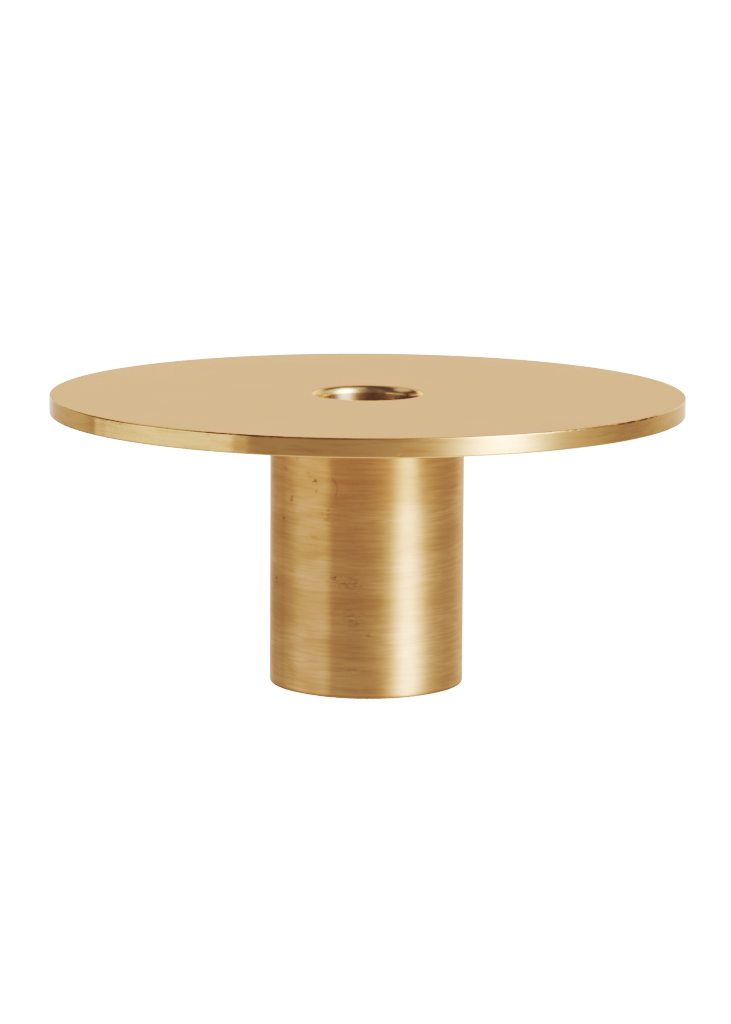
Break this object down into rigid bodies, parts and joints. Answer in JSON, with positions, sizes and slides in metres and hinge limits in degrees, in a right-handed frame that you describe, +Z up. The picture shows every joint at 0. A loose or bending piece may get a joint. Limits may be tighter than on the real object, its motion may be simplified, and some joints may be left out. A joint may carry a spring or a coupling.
{
  "type": "pillar candle holder",
  "caption": "Round flat candle plate with a rolled-edge dinner-candle hole in the middle, on a short plain cylindrical column.",
  "frame": {"origin": "centre of the felt pad's underside, on the surface the holder stands on", "axes": "+Z up along the column's axis; X and Y are free, because the holder is round, and +X and +Y each pass through a flange screw"},
  "size_m": [0.152, 0.152, 0.0705],
  "materials": {
    "brass": "unlacquered brass; satin top face, fine turned lines on the rim and column, light brown patina",
    "steel": "turned mild steel, lightly oiled",
    "zinc_steel": "zinc-plated steel fasteners",
    "felt": "dark brown pressed felt"
  },
  "bodies": {
    "root": {"top_plate": "brass", "column_tube": "brass", "candle_socket": "brass", "base_weight": "steel", "tie_bolt": "zinc_steel", "lock_washer": "zinc_steel", "flange_screw_1": "zinc_steel", "flange_screw_2": "zinc_steel", "flange_screw_3": "zinc_steel", "flange_screw_4": "zinc_steel", "felt_pad": "felt"}
  },
  "joints": []
}
